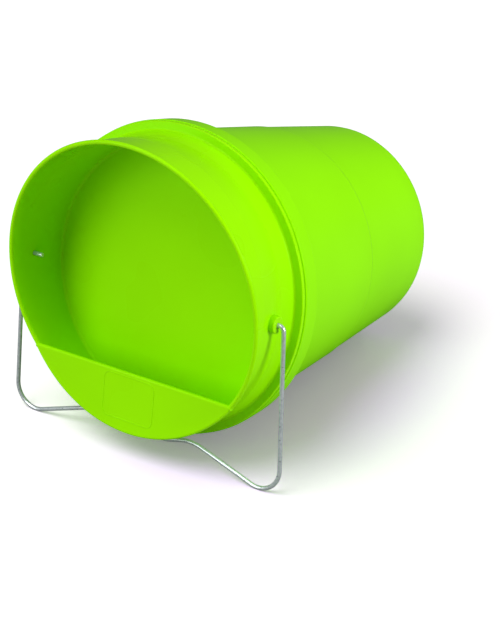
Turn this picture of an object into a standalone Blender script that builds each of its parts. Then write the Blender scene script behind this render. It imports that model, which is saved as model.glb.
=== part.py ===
"""Drinking bucket for poultry: a bucket that lies on its side and feeds its own trough.

The bucket's mouth is closed by a trough lid. The lid's drum is cut at a slant, so that its top
overhangs like a hood, and a low front plate dams the water that comes through a hole in the back
wall. One bent wire hangs in the lid's two bosses: it is the pair of front feet, and the bail that
the bucket is carried by.

Units are metres. In the world +Z is up, the ground is z = 0, the mouth faces -Y and the origin lies
under the middle of the object.

The pieces are modelled in the axis frame, which the empty "bucket_axis" carries: its origin is where
the bucket's axis meets the front plane of the trough, +Z runs forward along the axis, +Y runs up
across it and +X to the right. A size that ends in _BACK is a distance behind the front plane.
"""
import math

import bmesh
import bpy
import mathutils

# Trough drum: the wall round the trough
TUBE_RADIUS = 0.1326
TUBE_WALL = 0.0022
HOOD_DRAFT = 0.016
ROOT_DRAW_IN = 0.0026
ROOT_BACK = 0.0285
MOUTH_SLANT = math.radians(9.7)

# Rolled lip round the mouth, and the front plate that dams the water
LIP_STAND = 0.0024
LIP_BEAD = 0.0043
PLATE_TOP_DROP = 0.0775
PLATE_WALL = 0.0036
PLATE_BEAD = 0.0044

# Back wall of the trough, and the water hole low in it
BACK_WALL_BACK = 0.0510
BACK_WALL = 0.0024
BACK_FILLET = 0.0030
WATER_HOLE = 0.0160
WATER_HOLE_RISE = 0.0144

# Flange that seats on the bucket's rim, and the flare that carries it
FLARE_OUT = 0.0035
FLANGE_BACK = 0.0455
FLANGE_WALL = 0.0042
FLANGE_SETBACK = 0.0010
FLANGE_EDGE = 0.0010

# Plug that stands in the bucket's mouth, with a groove for the sealing ring
PLUG_DEPTH = 0.0150
PLUG_WALL = 0.0026
PLUG_CLEARANCE = 0.0009
GROOVE_FROM_RIM = 0.0060
GROOVE_DEPTH = 0.0012
RING_HEIGHT = 0.0036

# Bosses on the drum that carry the wire
PIVOT_BACK = 0.0160
BOSS_RADIUS = 0.0076
BOSS_STAND = 0.0042
BOSS_DRAFT = 0.0004
BOSS_EDGE = 0.0007

# Bucket
WALL_OVER_TUBE = 0.0011
WALL_TAPER = 0.1
STEP_SIZE = 0.0008
STEP_DEPTH = 0.1550
BASE_RADIUS = 0.1040
BUCKET_WALL = 0.0022
BUCKET_HEIGHT = 0.2950
BASE_ROUND = 0.0160
FLOOR_WALL = 0.0026
FOOT_RING_RADIUS = 0.0760
FOOT_RECESS = 0.0025

# Bucket's rim: a collar with a skirt turned down round the wall, held by webs
COLLAR_WIDTH = 0.0089
COLLAR_EDGE = 0.0012
SKIRT_DEPTH = 0.0206
SKIRT_DRAFT = 0.0016
SKIRT_WALL = 0.0020
WEB_DEPTH = 0.0130
WEB_WALL = 0.0016
WEB_COUNT = 18

# Wire stand
WIRE_DIAMETER = 0.0040
WIRE_HOLE = 0.0047
WIRE_STUB = 0.0095
BOSS_TO_LEG = 0.0057
HINGE_BEND = 0.0048
LEG_SPLAY = 0.0065
FOOT_DROP = 0.0238
FOOT_BEND = 0.0220
CREST_HALF_WIDTH = 0.0540
CREST_RISE = 0.0075
CREST_BEND = 0.0400
GRIP_HALF_WIDTH = 0.0260
GRIP_BEND = 0.0250
BAIL_CLEARANCE = 0.0020
LEAN_FORWARD = math.radians(5.5)

# Clearance between pieces that touch, and how round the round forms are
SEAT_GAP = 0.0003
TURN_STEPS = 72
SMALL_SEGMENTS = 24
BEAD_SEGMENTS = 12
ARC_STEP = math.radians(18)
BEND_STEP = math.radians(11)
SPREAD = 0.04

# Sizes that follow from the ones above
ROOT_RADIUS = TUBE_RADIUS - ROOT_DRAW_IN
FLARE_RADIUS = ROOT_RADIUS + FLARE_OUT
WALL_TOP_RADIUS = TUBE_RADIUS + WALL_OVER_TUBE
STEP_RADIUS = WALL_TOP_RADIUS - WALL_TAPER * STEP_DEPTH
COLLAR_RADIUS = WALL_TOP_RADIUS + COLLAR_WIDTH
LIP_RADIUS = TUBE_RADIUS + LIP_STAND
LIP_CENTRE = LIP_RADIUS - LIP_BEAD / 2
TUBE_MID = TUBE_RADIUS - TUBE_WALL / 2
HOOD_REACH = (LIP_RADIUS + PLATE_TOP_DROP) * math.tan(MOUTH_SLANT)
RIM_BACK = FLANGE_BACK + FLANGE_WALL + SEAT_GAP
FLANGE_RADIUS = COLLAR_RADIUS - FLANGE_SETBACK
BASE_BACK = RIM_BACK + BUCKET_HEIGHT
ROUND_BACK = BASE_BACK - BASE_ROUND
STEP_BACK = RIM_BACK + STEP_DEPTH
BOSS_FACE = TUBE_RADIUS + BOSS_STAND
LEG_X = BOSS_FACE + BOSS_TO_LEG
GRIP_DROP = math.hypot(PIVOT_BACK, LIP_RADIUS) + WIRE_DIAMETER / 2 + BAIL_CLEARANCE

PLASTIC_GREEN = (0.300, 0.800, 0.004, 1.0)
RUBBER_BLACK = (0.020, 0.020, 0.022, 1.0)
ZINC_GREY = (0.420, 0.440, 0.450, 1.0)


def drum_radius(back):
    """Outer radius of the drum's wall at a distance behind the front plane."""
    if back <= 0:
        return TUBE_RADIUS - HOOD_DRAFT * back
    return TUBE_RADIUS + (ROOT_RADIUS - TUBE_RADIUS) * back / ROOT_BACK


def wall_radius(back):
    """Outer radius of the bucket's wall at a distance behind the front plane."""
    if back <= STEP_BACK:
        share = (back - RIM_BACK) / STEP_DEPTH
        return WALL_TOP_RADIUS + (STEP_RADIUS - WALL_TOP_RADIUS) * share
    share = (back - STEP_BACK) / (ROUND_BACK - STEP_BACK)
    below_step = STEP_RADIUS - STEP_SIZE
    return below_step + (BASE_RADIUS - below_step) * share


def skirt_radius(back):
    """Outer radius of the turned-down skirt at a distance behind the front plane."""
    return COLLAR_RADIUS - SKIRT_DRAFT * (back - RIM_BACK) / SKIRT_DEPTH


def mouth_height(up):
    """Height of the mouth's plane along the axis, at a height across the axis."""
    if up < -PLATE_TOP_DROP:
        return 0.0
    return (up + PLATE_TOP_DROP) * math.tan(MOUTH_SLANT)


def arc(centre_x, centre_y, radius, start, end):
    """Points of an arc from one angle to another, ends included."""
    count = max(2, math.ceil(abs(end - start) / ARC_STEP))
    angles = [start + (end - start) * i / count for i in range(count + 1)]
    return [(centre_x + radius * math.cos(a), centre_y + radius * math.sin(a)) for a in angles]


def rounded_path(corners, bends):
    """A route through corner points in a plane, each corner turned with its own bend radius."""
    route = [corners[0]]
    for before, corner, after, bend in zip(corners, corners[1:], corners[2:], bends):
        come = math.atan2(corner[1] - before[1], corner[0] - before[0])
        leave = math.atan2(after[1] - corner[1], after[0] - corner[0])
        turn = (leave - come + math.pi) % (2 * math.pi) - math.pi
        reach = bend * math.tan(abs(turn) / 2)
        side = math.copysign(1, turn)
        centre_x = corner[0] - reach * math.cos(come) - side * bend * math.sin(come)
        centre_y = corner[1] - reach * math.sin(come) + side * bend * math.cos(come)
        count = max(2, math.ceil(abs(turn) / BEND_STEP))
        for i in range(count + 1):
            heading = come + turn * i / count
            x = centre_x + side * bend * math.sin(heading)
            y = centre_y - side * bend * math.cos(heading)
            route.append((x, y))
    route.append(corners[-1])
    return route


def clear_scene():
    """Empty the scene of objects."""
    for item in list(bpy.data.objects):
        bpy.data.objects.remove(item, do_unlink=True)


def new_collection(name):
    """A collection linked to the scene."""
    collection = bpy.data.collections.new(name)
    bpy.context.scene.collection.children.link(collection)
    return collection


def new_material(name, colour, roughness, metallic=0.0):
    """A Principled material."""
    material = bpy.data.materials.new(name)
    material.use_nodes = True
    shader = material.node_tree.nodes["Principled BSDF"]
    shader.inputs["Base Color"].default_value = colour
    shader.inputs["Roughness"].default_value = roughness
    shader.inputs["Metallic"].default_value = metallic
    return material


def new_empty(name, collection, parent=None, location=(0, 0, 0), rotation=(0, 0, 0)):
    """An empty that carries other objects."""
    empty = bpy.data.objects.new(name, None)
    collection.objects.link(empty)
    empty.parent = parent
    empty.location = location
    empty.rotation_euler = rotation
    return empty


def place(item, collection, parent, location=(0, 0, 0), rotation=(0, 0, 0)):
    """Put an object in a collection, under its parent."""
    collection.objects.link(item)
    item.parent = parent
    item.location = location
    item.rotation_euler = rotation
    return item


def as_tool(item):
    """Mark an object as one that only cuts or joins another."""
    item.hide_render = True
    item.display_type = "WIRE"
    return item


def turned(name, profile, closed=False, steps=TURN_STEPS, start=0.0):
    """An object turned from a profile of (radius, height) points about the Z axis."""
    east, north = math.cos(start), math.sin(start)
    points = [(radius * east, radius * north, height) for radius, height in profile]
    edges = [(i, i + 1) for i in range(len(points) - 1)]
    if closed:
        edges.append((len(points) - 1, 0))
    mesh = bpy.data.meshes.new(name)
    mesh.from_pydata(points, edges, [])
    item = bpy.data.objects.new(name, mesh)
    screw = item.modifiers.new("turn", "SCREW")
    screw.axis = "Z"
    screw.steps = steps
    screw.render_steps = steps
    screw.use_merge_vertices = True
    screw.merge_threshold = 0.00001
    screw.use_smooth_shade = True
    return item


def curve_mesh(curve_item):
    """Turn a curve object into a welded mesh object of the same name."""
    bpy.context.scene.collection.objects.link(curve_item)
    bpy.context.view_layer.update()
    evaluated = curve_item.evaluated_get(bpy.context.evaluated_depsgraph_get())
    mesh = bpy.data.meshes.new_from_object(evaluated)
    name = curve_item.name
    bpy.data.objects.remove(curve_item, do_unlink=True)
    cleaner = bmesh.new()
    cleaner.from_mesh(mesh)
    bmesh.ops.remove_doubles(cleaner, verts=cleaner.verts, dist=0.00001)
    bmesh.ops.recalc_face_normals(cleaner, faces=cleaner.faces)
    cleaner.to_mesh(mesh)
    cleaner.free()
    return bpy.data.objects.new(name, mesh)


def slab(name, outline, thickness):
    """A flat outline in the XY plane, extruded evenly to both sides."""
    curve = bpy.data.curves.new(name, "CURVE")
    curve.dimensions = "2D"
    curve.fill_mode = "BOTH"
    curve.extrude = thickness / 2
    spline = curve.splines.new("POLY")
    spline.points.add(len(outline) - 1)
    for point, (x, y) in zip(spline.points, outline):
        point.co = (x, y, 0, 1)
    spline.use_cyclic_u = True
    return curve_mesh(bpy.data.objects.new(name, curve))


def rod(name, route, diameter, closed=False):
    """A round rod along a route of 3D points."""
    curve = bpy.data.curves.new(name, "CURVE")
    curve.dimensions = "3D"
    curve.bevel_depth = diameter / 2
    curve.bevel_resolution = 2
    curve.use_fill_caps = not closed
    spline = curve.splines.new("POLY")
    spline.points.add(len(route) - 1)
    for point, (x, y, z) in zip(spline.points, route):
        point.co = (x, y, z, 1)
    spline.use_cyclic_u = closed
    return curve_mesh(bpy.data.objects.new(name, curve))


def cylinder(name, radius, depth, segments=SMALL_SEGMENTS):
    """A cylinder about Z, centred on its origin, its corners clear of those of what is turned."""
    mesh = bpy.data.meshes.new(name)
    shape = bmesh.new()
    bmesh.ops.create_cone(
        shape,
        cap_ends=True,
        segments=segments,
        radius1=radius,
        radius2=radius,
        depth=depth,
        matrix=mathutils.Matrix.Rotation(math.pi / (2 * segments), 4, "Z"),
    )
    shape.to_mesh(mesh)
    shape.free()
    return bpy.data.objects.new(name, mesh)


def combine(item, tool, operation):
    """Join a tool to an object, or cut it away, with an exact Boolean."""
    modifier = item.modifiers.new(f"{operation.lower()}_{tool.name}", "BOOLEAN")
    modifier.operation = operation
    modifier.solver = "EXACT"
    modifier.object = as_tool(tool)


def stance():
    """Tilt of the axis and height of its origin, with the feet and the base both on the ground.

    The base touches the ground with its rounded edge. Seen from the side, the centre of that
    rounding and the hinge are both fixed to the axis, and their heights give the tilt.
    """
    reach = max(-height for _, height in wire_route())
    hinge_height = reach * math.cos(LEAN_FORWARD) + WIRE_DIAMETER / 2
    along = ROUND_BACK - PIVOT_BACK
    across = BASE_RADIUS - BASE_ROUND
    fall = hinge_height - BASE_ROUND
    tilt = math.asin(fall / math.hypot(along, across)) - math.atan2(across, along)
    axis_height = hinge_height + PIVOT_BACK * math.sin(tilt)
    return tilt, axis_height


def wire_route():
    """Centre line of the wire in its own plane: (x, height above the hinge line)."""
    inner = drum_radius(PIVOT_BACK) - TUBE_WALL
    foot = (LEG_X + LEG_SPLAY, -(GRIP_DROP + FOOT_DROP))
    half = [
        (inner - WIRE_STUB, 0),
        (LEG_X, 0),
        foot,
        (CREST_HALF_WIDTH, -(GRIP_DROP - CREST_RISE)),
        (GRIP_HALF_WIDTH, -GRIP_DROP),
    ]
    bends = [HINGE_BEND, FOOT_BEND, CREST_BEND, GRIP_BEND]
    mirrored = [(-x, y) for x, y in reversed(half)]
    return rounded_path(half + mirrored, bends + bends[::-1])


def bucket_profile():
    """Profile of the bucket, from the middle of its floor over the rim to the middle of its base."""
    floor = -(BASE_BACK - FOOT_RECESS - FLOOR_WALL)
    inner_round = BASE_ROUND - BUCKET_WALL
    inner_base = BASE_RADIUS - BUCKET_WALL
    collar_under = RIM_BACK + SKIRT_WALL
    skirt_end = RIM_BACK + SKIRT_DEPTH
    profile = [(0, floor)]
    profile += arc(inner_base - inner_round, floor + inner_round, inner_round, -math.pi / 2, 0)
    step_inner = wall_radius(STEP_BACK) - BUCKET_WALL
    profile.append((step_inner - STEP_SIZE, -(STEP_BACK + STEP_SIZE)))
    profile.append((step_inner, -STEP_BACK))
    profile.append((WALL_TOP_RADIUS - BUCKET_WALL, -RIM_BACK))
    edge = COLLAR_EDGE
    profile += arc(COLLAR_RADIUS - edge, -(RIM_BACK + edge), edge, math.pi / 2, 0)
    profile.append((skirt_radius(skirt_end), -skirt_end))
    profile.append((skirt_radius(skirt_end) - SKIRT_WALL, -skirt_end))
    profile.append((skirt_radius(collar_under) - SKIRT_WALL, -collar_under))
    profile.append((wall_radius(collar_under), -collar_under))
    profile.append((STEP_RADIUS, -STEP_BACK))
    profile.append((STEP_RADIUS - STEP_SIZE, -(STEP_BACK + STEP_SIZE)))
    profile += arc(BASE_RADIUS - BASE_ROUND, -ROUND_BACK, BASE_ROUND, 0, -math.pi / 2)
    profile.append((FOOT_RING_RADIUS, -BASE_BACK))
    profile.append((FOOT_RING_RADIUS - FOOT_RECESS, -(BASE_BACK - FOOT_RECESS)))
    profile.append((0, -(BASE_BACK - FOOT_RECESS)))
    return profile


def collar_webs(name):
    """The webs that stand between the bucket's wall and its skirt, all in one mesh."""
    top = RIM_BACK + SKIRT_WALL / 2
    low = RIM_BACK + WEB_DEPTH
    corners = [
        (wall_radius(top) - BUCKET_WALL / 2, -top),
        (skirt_radius(top) - SKIRT_WALL / 2, -top),
        (skirt_radius(low) - SKIRT_WALL / 2, -low),
        (wall_radius(low) - BUCKET_WALL / 2, -low),
    ]
    shape = bmesh.new()
    for i in range(WEB_COUNT):
        turn = 2 * math.pi * (i + 0.5) / WEB_COUNT
        radial = (math.cos(turn), math.sin(turn))
        sideways = (-radial[1], radial[0])
        points = [
            shape.verts.new(
                (
                    radius * radial[0] - WEB_WALL / 2 * sideways[0],
                    radius * radial[1] - WEB_WALL / 2 * sideways[1],
                    height,
                )
            )
            for radius, height in corners
        ]
        face = shape.faces.new(points)
        grown = bmesh.ops.extrude_face_region(shape, geom=[face])
        moved = [part for part in grown["geom"] if isinstance(part, bmesh.types.BMVert)]
        offset = (WEB_WALL * sideways[0], WEB_WALL * sideways[1], 0)
        bmesh.ops.translate(shape, verts=moved, vec=offset)
    bmesh.ops.recalc_face_normals(shape, faces=shape.faces)
    mesh = bpy.data.meshes.new(name)
    shape.to_mesh(mesh)
    shape.free()
    return bpy.data.objects.new(name, mesh)


def plug_radius(back):
    """Outer radius of the lid's plug at a distance behind the front plane."""
    return wall_radius(back) - BUCKET_WALL - PLUG_CLEARANCE


def lid_profile():
    """Profile of the lid before its mouth is cut, from the back wall's front to its rear."""
    blank = HOOD_REACH + SPREAD / 4
    back_inner = drum_radius(BACK_WALL_BACK) - TUBE_WALL
    flange_rear = FLANGE_BACK + FLANGE_WALL
    plug_end = flange_rear + PLUG_DEPTH
    groove_top = flange_rear + GROOVE_FROM_RIM
    groove_end = groove_top + RING_HEIGHT + 2 * SEAT_GAP
    groove_floor = plug_radius(groove_end) - GROOVE_DEPTH
    rear = BACK_WALL_BACK + BACK_WALL
    profile = [(0, -BACK_WALL_BACK)]
    profile += arc(back_inner - BACK_FILLET, BACK_FILLET - BACK_WALL_BACK, BACK_FILLET, -math.pi / 2, 0)
    profile.append((drum_radius(0) - TUBE_WALL, 0))
    profile.append((drum_radius(-blank) - TUBE_WALL, blank))
    profile.append((drum_radius(-blank), blank))
    profile.append((drum_radius(0), 0))
    profile.append((ROOT_RADIUS, -ROOT_BACK))
    profile.append((FLARE_RADIUS, -FLANGE_BACK))
    edge = FLANGE_EDGE
    profile += arc(FLANGE_RADIUS - edge, -(FLANGE_BACK + edge), edge, math.pi / 2, 0)
    profile.append((FLANGE_RADIUS, -flange_rear))
    profile.append((plug_radius(flange_rear), -flange_rear))
    profile.append((plug_radius(groove_top), -groove_top))
    profile.append((groove_floor, -groove_top))
    profile.append((groove_floor, -groove_end))
    profile.append((plug_radius(groove_end), -groove_end))
    profile.append((plug_radius(plug_end), -plug_end))
    profile.append((plug_radius(plug_end) - PLUG_WALL, -plug_end))
    profile.append((plug_radius(rear) - PLUG_WALL, -rear))
    profile.append((0, -rear))
    return profile


def mouth_cutter(name):
    """Everything in front of the slanted mouth, less the depth that the rolled lip covers."""
    wide = LIP_RADIUS + SPREAD
    far = mouth_height(wide) + SPREAD
    sink = LIP_BEAD / 2
    outline = [
        (-wide, -sink),
        (-PLATE_TOP_DROP, -sink),
        (wide, mouth_height(wide) - sink),
        (wide, far),
        (-wide, far),
    ]
    return slab(name, outline, 2 * wide)


def lip_route():
    """Centre line of the rolled lip, round the mouth."""
    points = []
    for i in range(TURN_STEPS):
        turn = 2 * math.pi * (i + 0.5) / TURN_STEPS
        up = LIP_CENTRE * math.sin(turn)
        points.append((LIP_CENTRE * math.cos(turn), up, mouth_height(up) - LIP_BEAD / 2))
    return points


def plate_outline():
    """The segment of a circle that the front plate fills, its edge inside the drum's wall."""
    top = PLATE_TOP_DROP + PLATE_BEAD / 2
    corner = math.asin(top / TUBE_MID)
    count = math.ceil((math.pi - 2 * corner) / math.radians(5))
    angles = [-math.pi + corner + (math.pi - 2 * corner) * i / count for i in range(count + 1)]
    return [(TUBE_MID * math.cos(a), TUBE_MID * math.sin(a)) for a in angles]


def boss_profile():
    """Profile of a boss about the hinge line, its root inside the drum's wall."""
    root = drum_radius(PIVOT_BACK) - TUBE_WALL / 2
    profile = [(0, root), (BOSS_RADIUS + BOSS_DRAFT, root)]
    profile += arc(BOSS_RADIUS - BOSS_EDGE, BOSS_FACE - BOSS_EDGE, BOSS_EDGE, 0, math.pi / 2)
    profile.append((0, BOSS_FACE))
    return profile


def build_bucket(axis, parts, tools, plastic):
    """The bucket, with the webs under its collar."""
    bucket = place(turned("bucket", bucket_profile()), parts, axis)
    webs = place(collar_webs("web_tool"), tools, axis)
    combine(bucket, webs, "UNION")
    bucket.data.materials.append(plastic)
    return bucket


def build_lid(axis, parts, tools, plastic):
    """The trough lid: drum, lip, front plate, back wall, flange, plug and bosses in one moulding."""
    lid = place(turned("trough_lid", lid_profile()), parts, axis)

    side_on = (math.pi / 2, 0, math.pi / 2)
    combine(lid, place(mouth_cutter("mouth_tool"), tools, axis, rotation=side_on), "DIFFERENCE")

    front = -LIP_BEAD / 2
    plate = place(slab("plate_tool", plate_outline(), PLATE_WALL), tools, axis, (0, 0, front))
    combine(lid, plate, "UNION")

    bead_drop = PLATE_TOP_DROP + PLATE_BEAD / 2
    half_span = math.sqrt(TUBE_MID**2 - PLATE_TOP_DROP**2)
    bead = cylinder("plate_bead_tool", PLATE_BEAD / 2, 2 * half_span, BEAD_SEGMENTS)
    crosswise = (0, math.pi / 2, 0)
    combine(lid, place(bead, tools, axis, (0, -bead_drop, front), crosswise), "UNION")

    lip = place(rod("lip_tool", lip_route(), LIP_BEAD, closed=True), tools, axis)
    combine(lid, lip, "UNION")

    for name, side in (("right_boss_tool", 1), ("left_boss_tool", -1)):
        boss = turned(name, boss_profile(), steps=SMALL_SEGMENTS, start=math.pi / SMALL_SEGMENTS)
        place(boss, tools, axis, (0, 0, -PIVOT_BACK), (0, side * math.pi / 2, 0))
        combine(lid, boss, "UNION")

    drill = cylinder("wire_hole_tool", WIRE_HOLE / 2, 2 * (BOSS_FACE + SPREAD))
    combine(lid, place(drill, tools, axis, (0, 0, -PIVOT_BACK), crosswise), "DIFFERENCE")

    tap = cylinder("water_hole_tool", WATER_HOLE / 2, BACK_WALL * 4)
    wall_middle = -(BACK_WALL_BACK + BACK_WALL / 2)
    tap_drop = TUBE_RADIUS - TUBE_WALL - WATER_HOLE_RISE - WATER_HOLE / 2
    combine(lid, place(tap, tools, axis, (0, -tap_drop, wall_middle)), "DIFFERENCE")
    lid.data.materials.append(plastic)
    return lid


def build_ring(axis, parts, rubber):
    """The sealing ring in the plug's groove."""
    top = FLANGE_BACK + FLANGE_WALL + GROOVE_FROM_RIM + SEAT_GAP
    end = top + RING_HEIGHT
    groove_floor = plug_radius(end + SEAT_GAP) - GROOVE_DEPTH
    inner = groove_floor + SEAT_GAP
    bore_end = wall_radius(end) - BUCKET_WALL - SEAT_GAP
    lead = RING_HEIGHT / 4
    profile = [
        (bore_end - lead, -top),
        (bore_end, -(top + lead)),
        (bore_end, -(end - lead)),
        (bore_end - lead, -end),
        (inner, -end),
        (inner, -top),
    ]
    ring = place(turned("sealing_ring", profile, closed=True), parts, axis)
    ring.data.materials.append(rubber)
    return ring


def build_wire(hinge, parts, zinc):
    """The bent wire that is both stand and bail."""
    route = [(x, y, 0) for x, y in wire_route()]
    wire = place(rod("wire_stand", route, WIRE_DIAMETER), parts, hinge)
    wire.data.materials.append(zinc)
    return wire


def main():
    """Build the drinking bucket in its resting stance."""
    clear_scene()
    parts = new_collection("drinking_bucket")
    tools = new_collection("tools")

    plastic = new_material("green_plastic", PLASTIC_GREEN, 0.28)
    rubber = new_material("black_rubber", RUBBER_BLACK, 0.7)
    zinc = new_material("galvanised_wire", ZINC_GREY, 0.35, 1.0)

    tilt, axis_height = stance()
    front_y = -LIP_RADIUS * math.sin(tilt)
    across = (BASE_RADIUS - BASE_ROUND) * math.sin(tilt)
    rear_y = ROUND_BACK * math.cos(tilt) + across + BASE_ROUND
    axis_y = -(front_y + rear_y) / 2
    laid = (math.pi / 2 - tilt, 0, 0)
    axis = new_empty("bucket_axis", parts, location=(0, axis_y, axis_height), rotation=laid)
    lean = (tilt - LEAN_FORWARD, 0, 0)
    hinge = new_empty("wire_hinge", parts, axis, (0, 0, -PIVOT_BACK), lean)

    build_bucket(axis, parts, tools, plastic)
    build_lid(axis, parts, tools, plastic)
    build_ring(axis, parts, rubber)
    build_wire(hinge, parts, zinc)


main()
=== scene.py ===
"""Looks of a drinking bucket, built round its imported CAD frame.

The bucket lies on its side. A trough lid closes its mouth, and one bent wire is both the lid's
front feet and the bail. Every piece is modelled here again with finer forms than the CAD nodes
have, at the same sizes, and rides on the same bodies.

Lengths are metres. Pieces are shaped in the axis frame: Z runs forward along the bucket's axis,
Y up across it, X to the right, and the origin is where the axis meets the trough's front plane.
A length that ends in back is measured backwards from that plane. Angles are degrees.
"""
import enum
import logging
import math
from dataclasses import dataclass

import bpy
from mathutils import Matrix, Vector


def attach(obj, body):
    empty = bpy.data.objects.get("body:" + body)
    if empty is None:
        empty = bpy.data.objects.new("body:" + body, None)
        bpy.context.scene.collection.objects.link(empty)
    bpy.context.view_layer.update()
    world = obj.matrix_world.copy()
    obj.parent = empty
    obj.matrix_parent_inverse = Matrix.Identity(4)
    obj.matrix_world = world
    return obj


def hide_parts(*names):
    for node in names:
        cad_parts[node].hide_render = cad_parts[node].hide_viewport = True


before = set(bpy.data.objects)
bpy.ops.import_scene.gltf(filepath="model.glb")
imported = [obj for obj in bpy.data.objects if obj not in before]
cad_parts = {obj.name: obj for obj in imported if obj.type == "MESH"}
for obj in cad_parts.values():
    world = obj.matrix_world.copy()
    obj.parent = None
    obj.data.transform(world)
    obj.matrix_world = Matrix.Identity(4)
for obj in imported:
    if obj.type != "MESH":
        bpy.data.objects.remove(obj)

log = logging.getLogger("drinking_bucket")

Point2 = tuple[float, float]
Corner = tuple[float, float, float]
Colour = tuple[float, float, float]

CORNER_STEP = 12.0
MERGE_DISTANCE = 0.000002
LAID_ACROSS = Vector((0, math.pi / 2, 0))


class Joining(enum.Enum):
    """How a tool piece changes the piece that it meets."""

    ADD = "UNION"
    CUT = "DIFFERENCE"


def rounded_route(corners: list[Point2], bends: list[float], step: float) -> list[Point2]:
    """A route through corner points, each corner turned with its own radius.

    Args:
        corners: Corner points, ends included.
        bends: Bend radius of each inner corner.
        step: Largest turn between two points, in degrees.

    Returns:
        The points of the route.
    """
    route = [corners[0]]
    for before, corner, after, bend in zip(corners, corners[1:], corners[2:], bends):
        come = math.atan2(corner[1] - before[1], corner[0] - before[0])
        leave = math.atan2(after[1] - corner[1], after[0] - corner[0])
        turn = (leave - come + math.pi) % (2 * math.pi) - math.pi
        reach = bend * math.tan(abs(turn) / 2)
        side = math.copysign(1, turn)
        centre_x = corner[0] - reach * math.cos(come) - side * bend * math.sin(come)
        centre_y = corner[1] - reach * math.sin(come) + side * bend * math.cos(come)
        count = max(3, math.ceil(abs(turn) / math.radians(step)))
        for i in range(count + 1):
            heading = come + turn * i / count
            x = centre_x + side * bend * math.sin(heading)
            y = centre_y - side * bend * math.cos(heading)
            route.append((x, y))
    route.append(corners[-1])
    return route


def softened(corners: list[Corner]) -> list[Point2]:
    """A profile with rounded corners, in steps of CORNER_STEP degrees.

    Args:
        corners: The profile's corners (radius, height, rounding), with rounding 0 for a sharp one.

    Returns:
        The points of the rounded profile.
    """
    result = []
    size = len(corners)
    for i, (x, y, rounding) in enumerate(corners):
        if not rounding:
            result.append((x, y))
            continue
        before = corners[(i - 1) % size][:2]
        after = corners[(i + 1) % size][:2]
        result += rounded_route([before, (x, y), after], [rounding], CORNER_STEP)[1:-1]
    return result


def steadied(points: list[Point2], reach: float = 0.0012, least: float = 0.006) -> list[Point2]:
    """A profile with extra points near the ends of its long straights, so that they shade flat.

    Args:
        points: The profile's points.
        reach: Distance of an extra point from the end.
        least: Shortest straight that gets extra points.

    Returns:
        The points of the profile with the extra ones.
    """
    result = [points[0]]
    for here, there in zip(points, points[1:]):
        length = math.dist(here, there)
        if length > least:
            for share in (reach / length, 1 - reach / length):
                x = here[0] + (there[0] - here[0]) * share
                y = here[1] + (there[1] - here[1]) * share
                result.append((x, y))
        result.append(there)
    return result


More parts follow.
